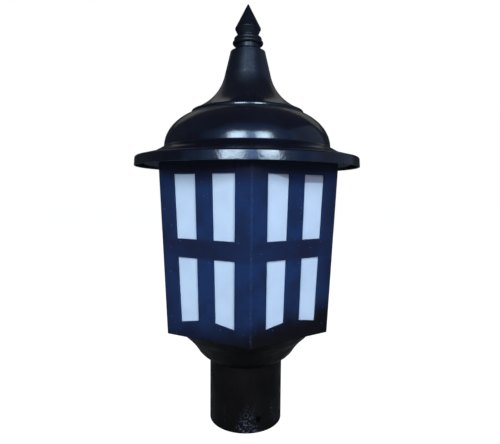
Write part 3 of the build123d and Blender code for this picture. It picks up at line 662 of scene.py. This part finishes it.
def canopy_side(roof, wall):
    """The canopy's side from the rim up to the spire's seat, moved in by a wall."""
    rim, low = reach("canopy_dome"), foot("canopy_dome")
    edge = rim - wall - roof.rim_lean
    shoulder = low + roof.rim_band
    brim = rim - roof.brim_width
    dome = brim - roof.dome_step
    turn = roof.rim_round * DIAGONAL
    start = (edge - roof.rim_round, shoulder + roof.rim_round - wall / 2)
    middle = (edge - roof.rim_round + turn, shoulder + turn - wall / 2)
    points = [(rim - wall, low)]
    points += three_point_arc((edge, shoulder), middle, start, steps=8)
    points += [start, (brim - wall / 2, low + roof.brim_rise - wall)]
    seat = head("canopy_dome") - low - roof.dome_foot - wall
    sweep = asin(seat / (roof.dome_height - wall))
    steps = 36
    for i in range(steps + 1):
        angle = sweep * i / steps
        radius = dome - roof.dome_reach + (roof.dome_reach - wall) * cos(angle)
        points.append((radius, low + roof.dome_foot + (roof.dome_height - wall) * sin(angle)))
    return points


class GATELIGHT_OT_canopy(bpy.types.Operator):
    """Spins the canopy with its rim band, brim and dome"""

    bl_idname = "gatelight.canopy"
    bl_label = "Canopy"

    rim_edge = 0.4 * MM
    rim_zone = 1.0 * MM  # height over the foot in which edges are rounded

    def execute(self, context):
        roof = context.scene.gate_roof
        outer = canopy_side(roof, 0.0)
        inner = canopy_side(roof, roof.wall)
        low, top = foot("canopy_dome"), head("canopy_dome")
        hole = [(roof.stud_hole, top), (roof.stud_hole, top - roof.wall)]
        brim = (reach("canopy_dome") - roof.brim_width, low + roof.brim_rise)
        foot_of_dome = (brim[0] - roof.dome_step, low + roof.dome_foot)
        rounds = [(brim, roof.brim_bend), (foot_of_dome, roof.brim_bend)]
        bm = turned(outer + hole + inner[::-1], steps=192, rounds=rounds)
        zone_top = low + self.rim_zone
        round_edges(bm, self.rim_edge, radians(40), chosen=lambda edge: edge.verts[0].co.z < zone_top)
        add_piece("canopy_dome_skin", bm, "canopy", "roof_paint", "canopy_dome")
        return {"FINISHED"}


def spire_side(roof, inwards, down):
    """The spire's side from its foot's upper edge to its flat top, moved inwards and down."""
    level = foot("spire_cone") + roof.spire_edge - down
    start = (reach("spire_cone") - roof.spire_round - inwards, level)
    pull = (roof.pull_radius - inwards, level + roof.pull_rise)
    flare = (roof.flare_radius - inwards, level + roof.flare_rise)
    neck = (roof.neck_radius - inwards, level + roof.neck_rise)
    top = (roof.top_radius - inwards, head("spire_cone") - down)
    rise, run = top[1] - neck[1], neck[0] - top[0]
    radius = (rise * rise + run * run) / (2 * rise)
    bend = acos(1 - rise / radius) / 2
    middle = (top[0] + radius * sin(bend), top[1] - radius * (1 - cos(bend)))
    side = flare_curve(start, pull, flare, steps=40) + [flare]
    return side + three_point_arc(neck, middle, top, steps=8) + [top]


class GATELIGHT_OT_spire(bpy.types.Operator):
    """Spins the flared spire that stands on the canopy"""

    bl_idname = "gatelight.spire"
    bl_label = "Spire"

    def execute(self, context):
        roof = context.scene.gate_roof
        low, high, wide = foot("spire_cone"), head("spire_cone"), reach("spire_cone")
        edge_top = low + roof.spire_edge
        turn = roof.spire_round * DIAGONAL
        rounding = three_point_arc(
            (wide, edge_top - roof.spire_round),
            (wide - roof.spire_round + turn, edge_top - roof.spire_round + turn),
            (wide - roof.spire_round, edge_top),
            steps=6,
        )
        outer = [(wide, low)] + rounding + spire_side(roof, 0.0, 0.0)
        inner = spire_side(roof, roof.spire_wall, roof.spire_skin)
        hole = [(roof.stud_hole, high), (roof.stud_hole, high - roof.spire_skin)]
        bm = turned(outer + hole + inner[::-1] + [(inner[0][0], low)], steps=160)
        add_piece("spire_cone_skin", bm, "canopy", "roof_paint", "spire_cone")
        return {"FINISHED"}


class GATELIGHT_OT_finial(bpy.types.Operator):
    """Spins the finial with its two rings and its point"""

    bl_idname = "gatelight.finial"
    bl_label = "Finial"

    def execute(self, context):
        sizes = context.scene.gate_finial
        low, tip = foot("finial"), head("finial")
        neck = low + sizes.neck_height
        lower = neck + sizes.lower_height
        upper = lower + sizes.upper_height
        waist = upper + sizes.waist_height
        point = waist + sizes.point_base
        groove = (sizes.groove_radius, lower)
        bore_end = low + sizes.bore_depth
        profile = [(0.0, bore_end), (sizes.bore, bore_end), (sizes.bore, low), (sizes.neck_radius, low)]
        lower_crest = (sizes.lower_radius, (neck + lower) / 2)
        profile += three_point_arc((sizes.neck_radius, neck), lower_crest, groove, steps=14)
        upper_crest = (sizes.upper_radius, (lower + upper) / 2)
        profile += three_point_arc(groove, upper_crest, (sizes.waist_radius, upper), steps=12)
        profile += [(sizes.waist_radius, upper), (sizes.waist_radius, waist), (sizes.point_radius, point)]
        profile += [(sizes.tip_radius, tip), (0.0, tip)]
        bm = turned(profile, steps=96, closed=False)
        inside = 2 * sizes.bore
        round_edges(bm, sizes.edge, radians(30), chosen=lambda edge: edge.verts[0].co.xy.length > inside)
        add_piece("finial_turning", bm, "finial", "roof_paint", "finial", finish="finial_paint")
        paint_nodes("rubber", "finial_washer")
        return {"FINISHED"}


# Base


def bowl_side(base, wall):
    """The bowl's S-shaped side from the collar to the shoulder, moved in by a wall."""
    collar = base.bore + base.collar_wall - wall
    foot_point = (collar, base.collar_height)
    waist = (base.waist_radius - wall, base.waist_height)
    shoulder = (base.shoulder_radius - wall, base.shoulder_height)
    swell = ((foot_point[0] + waist[0]) / 2 + base.swell, (foot_point[1] + waist[1]) / 2 - base.swell)
    hollow = ((waist[0] + shoulder[0]) / 2 - base.swell, (waist[1] + shoulder[1]) / 2 + base.swell)
    points = three_point_arc(foot_point, swell, waist, steps=14)
    return points + three_point_arc(waist, hollow, shoulder, steps=14) + [shoulder]


def cut_holes(bm, places, radius, length):
    """Cuts round holes through a shell. Each place carries the hole's own Z axis."""
    drill = bmesh.new()
    for place in places:
        add_cylinder(drill, place, radius, length, segments=48)
    meshes = [to_mesh("shell", bm), to_mesh("cutter", drill)]
    shell, cutter = (add_object(mesh.name, mesh) for mesh in meshes)
    cut = shell.modifiers.new("holes", "BOOLEAN")
    cut.object = cutter
    cut.operation = "DIFFERENCE"
    cut.solver = "EXACT"
    bpy.context.view_layer.update()
    done = bpy.data.meshes.new_from_object(shell.evaluated_get(bpy.context.evaluated_depsgraph_get()))
    result = bmesh.new()
    result.from_mesh(done)
    for item in (shell, cutter):
        bpy.data.objects.remove(item)
    for mesh in (*meshes, done):
        bpy.data.meshes.remove(mesh)
    return result


class GATELIGHT_OT_base(bpy.types.Operator):
    """Spins the bowl with its collar and drills the set screw holes"""

    bl_idname = "gatelight.base"
    bl_label = "Base"

    def execute(self, context):
        base = context.scene.gate_base
        flange, top = reach("base_casting"), head("base_casting")
        outer = [(base.bore + base.collar_wall, foot("base_casting"))]
        outer += bowl_side(base, 0.0) + [(flange, base.flange_height), (flange, top)]
        inner = bowl_side(base, base.bowl_wall)
        seat = base.bore_depth + base.seat_depth
        inside = [(inner[-1][0], top)] + inner[::-1] + [(inner[0][0], base.floor_top)]
        inside += [(base.grommet_hole, base.floor_top), (base.grommet_hole, seat)]
        inside += [(base.grommet_seat, seat), (base.grommet_seat, base.bore_depth)]
        inside += [(base.bore, base.bore_depth), (base.bore, foot("base_casting"))]
        bm = turned(outer + inside, steps=128)
        round_edges(bm, base.edge, radians(28), segments=3)
        bm = cut_holes(bm, self.screw_places(base), base.screw_hole, length=3 * base.collar_wall)
        add_piece("base_casting_skin", bm, "lantern", "base_paint", "base_casting")
        return {"FINISHED"}

    def screw_places(self, base):
        """Middles of the set screw holes, from the set screws' own boxes."""
        places = []
        for screw in SET_SCREWS:
            low, high = BOXES[screw]
            outwards = ((low + high) / 2).xy.normalized()
            middle = Vector((*(outwards * (base.bore + base.collar_wall / 2)), base.screw_height))
            aim = Vector((*outwards, 0.0)).to_track_quat("Z", "Y").to_matrix().to_4x4()
            places.append(Matrix.Translation(middle) @ aim)
        return places


# Cage


class GATELIGHT_OT_cage(bpy.types.Operator):
    """Folds the six-sided cage with its windows, lip and screw posts"""

    bl_idname = "gatelight.cage"
    bl_label = "Cage"

    cells = 5  # rows and columns of a face's grid, bars and windows by turns
    half_grid = 0.5
    window_cells = (1, 3)
    sill_line = 1
    middle_lines = (2, 3)
    upright_share = 0.9
    fold_angles = (radians(50), radians(70))
    lip_steps = 48
    post_drop = 0.01 * MM  # keeps the posts' tops just under the level of the rim

    def execute(self, context):
        cage = context.scene.gate_cage
        bm = bmesh.new()
        self.add_face(bm, cage)
        self.fold_round(bm)
        bmesh.ops.solidify(bm, geom=bm.faces[:], thickness=cage.wall)
        folds = [edge for edge in bm.edges if self.is_fold(edge)]
        round_edges(bm, cage.fold, radians(30), segments=3, chosen=lambda edge: edge in folds)
        round_edges(bm, cage.edge, radians(50))
        self.add_lip(bm, cage)
        self.add_posts(bm, cage)
        add_piece("cage_folded", bm, "lantern", "cage_paint", "cage")
        return {"FINISHED"}

    def corner(self, cage, height):
        """Distance of the cage's corners from the axis at a height."""
        top_radius = -BOXES["cage"][0].y
        share = (height - foot("cage")) / (head("cage") - foot("cage"))
        return cage.foot_radius + share * (top_radius - cage.foot_radius)

    def add_face(self, bm, cage):
        """One face as a grid of stiles and bars, with its four windows left out."""
        sill = foot("cage") + cage.sill
        crown = sill + cage.sill_arch
        lower_head = crown + cage.lower_window
        upper_sill = lower_head + cage.cross_bar
        upper_head = upper_sill + cage.upper_window
        heights = (foot("cage"), sill, lower_head, upper_sill, upper_head, head("cage"))
        bmesh.ops.create_grid(bm, x_segments=self.cells, y_segments=self.cells, size=self.half_grid)
        windows = [face for face in bm.faces if self.is_window(face)]
        bmesh.ops.delete(bm, geom=windows, context="FACES")
        left, right = self.middle_lines
        for vert in bm.verts:
            column, row = (round(self.along_grid(part)) for part in vert.co.xy)
            arched = row == self.sill_line and column in self.middle_lines
            height = crown if arched else heights[row]
            radius = self.corner(cage, height)
            inner, corner = cage.middle_stile / 2, radius * sin(HALF_SIDE)
            places = (inner, corner - cage.corner_stile, corner)
            across = places[column - right] if column >= right else -places[left - column]
            vert.co = (across, -radius * cos(HALF_SIDE), height)

    def along_grid(self, part):
        """A place on the grid, counted in cells from its edge."""
        return (part + self.half_grid) * self.cells

    def is_window(self, face):
        middle = face.calc_center_median().xy
        return all(int(self.along_grid(part)) in self.window_cells for part in middle)

    def fold_round(self, bm):
        """Repeats the face round the axis and joins the corners."""
        turn = Matrix.Rotation(HALF_SIDE, 3, "Z")
        bmesh.ops.rotate(bm, cent=(0, 0, 0), matrix=turn, verts=bm.verts)
        face = bm.verts[:] + bm.edges[:] + bm.faces[:]
        copies = SIDES - 1
        angle = 2 * pi * copies / SIDES
        bmesh.ops.spin(bm, geom=face, **AXIS, angle=angle, steps=copies, use_duplicate=True)
        bmesh.ops.remove_doubles(bm, verts=bm.verts, dist=MERGE)
        bmesh.ops.recalc_face_normals(bm, faces=bm.faces)

    def is_fold(self, edge):
        """True for the outer upright edges where two faces meet."""
        low, high = sorted((vert.co for vert in edge.verts), key=lambda point: point.z)
        upright = high.z - low.z > self.upright_share * (high - low).length
        least, most = self.fold_angles
        return upright and edge.is_convex and least < edge.calc_face_angle() < most

    def add_lip(self, bm, cage):
        """Level lip in the foot that the base is screwed to."""
        low = foot("cage") + cage.lip_rise
        place = Matrix.Translation((0, 0, low))
        outline = (self.corner(cage, low) - cage.wall, SIDES)
        opening = (cage.lip_opening, self.lip_steps)
        rings = []
        for radius, steps in (outline, opening):
            ring = bmesh.ops.create_circle(bm, segments=steps, radius=radius, matrix=place)
            rings += {edge for vert in ring["verts"] for edge in vert.link_edges}
        plate = bmesh.ops.bridge_loops(bm, edges=rings)
        bmesh.ops.recalc_face_normals(bm, faces=plate["faces"])
        raised = bmesh.ops.extrude_face_region(bm, geom=plate["faces"], use_keep_orig=True)
        verts = [part for part in raised["geom"] if isinstance(part, bmesh.types.BMVert)]
        bmesh.ops.translate(bm, vec=(0, 0, cage.wall), verts=verts)

    def add_posts(self, bm, cage):
        """Round posts in the corners that the roof ring is screwed to."""
        top = head("cage") - self.post_drop
        distance = self.corner(cage, head("cage")) - cage.post_inset / cos(HALF_SIDE)
        for index in range(SIDES):
            turn = Matrix.Rotation(2 * pi * index / SIDES - pi / 2, 4, "Z")
            place = turn @ Matrix.Translation((distance, 0, top - cage.post_length / 2))
            add_cylinder(bm, place, cage.post_radius, cage.post_length, segments=24)


class GATELIGHT_OT_panes(bpy.types.Operator):
    """Finishes the six milky panes"""

    bl_idname = "gatelight.panes"
    bl_label = "Panes"

    def execute(self, context):
        paint_nodes("opal", *(f"diffuser_panel_{number + 1}" for number in range(SIDES)))
        return {"FINISHED"}


class GATELIGHT_OT_plates(bpy.types.Operator):
    """Finishes the tray, the roof ring, the bridge and the seals"""

    bl_idname = "gatelight.plates"
    bl_label = "Plates and seals"

    def execute(self, context):
        paint_nodes("white_paint", "holder_tray")
        paint_nodes("cage_paint", "roof_ring")
        paint_nodes("zinc", "roof_bridge")
        paint_nodes("rubber", "roof_gasket", "base_gasket", "cable_grommet")
        return {"FINISHED"}


class GATELIGHT_OT_fasteners(bpy.types.Operator):
    """Finishes the screws, the nut and the finial's stud"""

    bl_idname = "gatelight.fasteners"
    bl_label = "Fasteners"

    def execute(self, context):
        paint_nodes("zinc", "base_screws", "roof_ring_screws", "bridge_screws", "bridge_nut", "finial_stud")
        paint_nodes("zinc", "holder_screws", "block_screws")
        paint_nodes("black_steel", *SET_SCREWS)
        return {"FINISHED"}


class GATELIGHT_OT_lamp(bpy.types.Operator):
    """Finishes the lamp holder and the bulb"""

    bl_idname = "gatelight.lamp"
    bl_label = "Lamp holder and bulb"

    def execute(self, context):
        paint_nodes("porcelain", "lamp_holder")
        paint_nodes("brass", "holder_thread_shell", "holder_contact", "bulb_contact")
        paint_nodes("zinc", "bulb_cap")
        paint_nodes("bulb_plastic", "bulb_housing", "bulb_globe")
        paint_nodes("white_paint", "led_board")
        return {"FINISHED"}


class GATELIGHT_OT_wiring(bpy.types.Operator):
    """Finishes the terminal block and the wires in the bowl"""

    bl_idname = "gatelight.wiring"
    bl_label = "Wiring"

    def execute(self, context):
        paint_nodes("block_plastic", "terminal_block")
        paint_nodes("brass", "terminal_screws", "earth_tag", "earth_screw")
        paint_nodes("wire_brown", "live_wire")
        paint_nodes("wire_blue", "neutral_wire")
        paint_nodes("wire_green", "earth_wire")
        return {"FINISHED"}


# Stage


def glow_in_view(tree, lift, mirror):
    """Strength that is bright in plain view and dim in reflections."""
    rays = new_node(tree, "ShaderNodeLightPath").outputs
    shares = {"Is Camera Ray": lift, "Is Glossy Ray": mirror, "Is Transmission Ray": lift}
    level = 0.0
    for ray, share in shares.items():
        inputs = {0: rays[ray], 1: share, 2: level}
        level = new_node(tree, "ShaderNodeMath", inputs, operation="MULTIPLY_ADD").outputs["Value"]
    return level


def add_shaders(tree, first, second, output):
    """Sends the light of two shaders to an output of a kind."""
    both = new_node(tree, "ShaderNodeAddShader", {0: first.outputs[0], 1: second.outputs[0]})
    new_node(tree, output, {"Surface": both.outputs["Shader"]})


def room(stage):
    """Dim room that is pale in plain view."""
    world = bpy.data.worlds.new("room")
    tree = empty_tree(world)
    dim = new_node(tree, "ShaderNodeBackground", {"Color": (*stage.room, 1.0)})
    glow = glow_in_view(tree, stage.backdrop_lift, stage.mirror)
    pale = new_node(tree, "ShaderNodeBackground", {"Color": WHITE, "Strength": glow})
    add_shaders(tree, dim, pale, "ShaderNodeOutputWorld")
    return world


def paper(name, tone, lift, mirror):
    """Pale paper that also glows a little in plain view and, less, in reflections."""
    material = bpy.data.materials.new(f"{name}_paper")
    tree = empty_tree(material)
    matt = new_node(tree, "ShaderNodeBsdfDiffuse", {"Color": (*tone, 1.0)})
    glow = new_node(tree, "ShaderNodeEmission", {"Strength": glow_in_view(tree, lift, mirror)})
    add_shaders(tree, matt, glow, "ShaderNodeOutputMaterial")
    return material


class GATELIGHT_OT_stage(bpy.types.Operator):
    """Sets the finishes, the floor, the backdrop, the lights and the camera"""

    bl_idname = "gatelight.stage"
    bl_label = "Stage"

    floor_size = 8.0
    floor_gap = 0.2 * MM
    sweep_radius = 3.4
    sweep_bend = 1.2
    sweep_height = 3.2
    # Setting, lower left and upper right corner, distance from the axis, turn about it in degrees
    lights = {
        "tall_light_left": ("daylight", (-0.8, 0.495), (-0.16, 1.27), 1.6, 0),
        "tall_light_right": ("daylight", (0.3, 0.495), (0.82, 1.27), 1.6, 0),
        "light_between": ("between", (-0.16, 0.495), (0.3, 1.27), 1.6, 0),
        "sky_light": ("sky", (-1.7, 0.1), (2.3, 3.6), 1.7, 0),
        "wide_sky_light": ("sky", (-3.8, 0.1), (4.8, 2.6), 1.75, 0),
        "side_light": ("side", (-1.4, 0.1), (1.4, 2.2), 2.2, 90),
        "strip_light": ("strip", (-2.0, 1.3), (1.4, 2.2), 1.9, 180),
        "back_light": ("back", (-2.0, 0.3), (2.0, 2.5), 2.2, 180),
    }
    camera_place = (-0.01815, -0.41725, 0.22292)
    camera_turn = -2.93
    camera_tip = -3.91
    camera_roll = 0.43
    sensor_width = 36.0

    def execute(self, context):
        make_finishes(context.scene.gate_finishes)
        stage = context.scene.gate_stage
        context.scene.view_settings.view_transform = "Standard"
        self.add_paper(stage)
        self.add_lights(context.scene, stage)
        self.add_camera(context.scene, stage)
        return {"FINISHED"}

    def add_paper(self, stage):
        """Floor that sweeps up behind the object."""
        floor = bmesh.new()
        level = Matrix.Translation((0, 0, CAD_BOX[0][2] - self.floor_gap))
        bmesh.ops.create_grid(floor, x_segments=1, y_segments=1, size=self.floor_size, matrix=level)
        wall = bmesh.new()
        bend_start = (self.sweep_radius - self.sweep_bend, 0.0)
        bend_end = (self.sweep_radius, self.sweep_bend)
        turn = self.sweep_bend * DIAGONAL
        middle = (bend_start[0] + turn, self.sweep_bend - turn)
        side = three_point_arc(bend_start, middle, bend_end, steps=16) + [bend_end]
        side.append((self.sweep_radius, self.sweep_height))
        verts = [wall.verts.new((radius, 0.0, height)) for radius, height in side]
        edges = [wall.edges.new(pair) for pair in zip(verts, verts[1:])]
        bmesh.ops.spin(wall, geom=verts + edges, **AXIS, angle=pi, steps=64, use_merge=False)
        for name, bm in (("floor", floor), ("backdrop", wall)):
            mesh = to_mesh(name, bm)
            mesh.shade_smooth()
            tone, lift = getattr(stage, name), getattr(stage, f"{name}_lift")
            mesh.materials.append(paper(name, tone, lift, stage.mirror))
            sheet = add_object(name, mesh)

    def add_lights(self, scene, stage):
        """Two tall soft lights in front of broad dim ones, and lights at the right and at the back."""
        for name, (setting, low, high, distance, turn) in self.lights.items():
            tone, level = getattr(stage, setting), getattr(stage, f"{setting}_level")
            self.add_light(name, low, high, distance, turn, tone, level)
        scene.objects["back_light"].visible_glossy = False
        scene.world = room(stage)

    def add_light(self, name, low, high, distance, turn, tone, level):
        """Rectangle of light between two corners in front of the object, turned about its axis."""
        light = bpy.data.lights.new(name, "AREA")
        light.shape = "RECTANGLE"
        light.size, light.size_y = high[0] - low[0], high[1] - low[1]
        light.color = tone
        light.energy = level * pi * light.size * light.size_y
        lamp = add_object(name, light)
        around = Matrix.Rotation(radians(turn), 3, "Z")
        lamp.location = around @ Vector(((low[0] + high[0]) / 2, -distance, (low[1] + high[1]) / 2))
        lamp.rotation_euler = (radians(90), 0, radians(turn))
        lamp.visible_camera = False

    def add_camera(self, scene, stage):
        lens = bpy.data.cameras.new("camera")
        lens.lens = stage.lens
        lens.sensor_width = self.sensor_width
        lens.sensor_fit = "HORIZONTAL"
        camera = add_object("camera", lens)
        turn = Matrix.Rotation(radians(self.camera_turn), 4, "Z")
        tip = Matrix.Rotation(radians(90 + self.camera_tip), 4, "X")
        roll = Matrix.Rotation(radians(self.camera_roll), 4, "Z")
        camera.matrix_world = Matrix.Translation(self.camera_place) @ turn @ tip @ roll
        scene.camera = camera


class VIEW3D_PT_gatelight(bpy.types.Panel):
    """Settings and steps of the gate light"""

    bl_label = "Gate light"
    bl_idname = "VIEW3D_PT_gatelight"
    bl_space_type = "VIEW_3D"
    bl_region_type = "UI"
    bl_category = "Gate light"

    def draw(self, context):
        for name in SETTINGS:
            box = self.layout.box()
            group = getattr(context.scene, name)
            for field in group.__annotations__:
                box.prop(group, field)
        for operator in OPERATORS:
            self.layout.operator(operator.bl_idname)


SETTINGS = {
    "gate_roof": RoofSizes,
    "gate_finial": FinialSizes,
    "gate_base": BaseSizes,
    "gate_cage": CageSizes,
    "gate_finishes": Finishes,
    "gate_stage": StageSettings,
}
OPERATORS = (
    GATELIGHT_OT_stage,
    GATELIGHT_OT_canopy,
    GATELIGHT_OT_spire,
    GATELIGHT_OT_finial,
    GATELIGHT_OT_base,
    GATELIGHT_OT_cage,
    GATELIGHT_OT_panes,
    GATELIGHT_OT_plates,
    GATELIGHT_OT_fasteners,
    GATELIGHT_OT_lamp,
    GATELIGHT_OT_wiring,
)
CLASSES = (*SETTINGS.values(), *OPERATORS, VIEW3D_PT_gatelight)


def register():
    for kind in CLASSES:
        bpy.utils.register_class(kind)
    for name, kind in SETTINGS.items():
        setattr(bpy.types.Scene, name, bpy.props.PointerProperty(type=kind))


def unregister():
    for name in SETTINGS:
        delattr(bpy.types.Scene, name)
    for kind in reversed(CLASSES):
        bpy.utils.unregister_class(kind)


def main():
    register()
    bpy.ops.gatelight.stage()
    bpy.ops.gatelight.canopy()
    bpy.ops.gatelight.spire()
    bpy.ops.gatelight.finial()
    bpy.ops.gatelight.base()
    bpy.ops.gatelight.cage()
    bpy.ops.gatelight.panes()
    bpy.ops.gatelight.plates()
    bpy.ops.gatelight.fasteners()
    bpy.ops.gatelight.lamp()
    bpy.ops.gatelight.wiring()


if __name__ == "__main__":
    main()
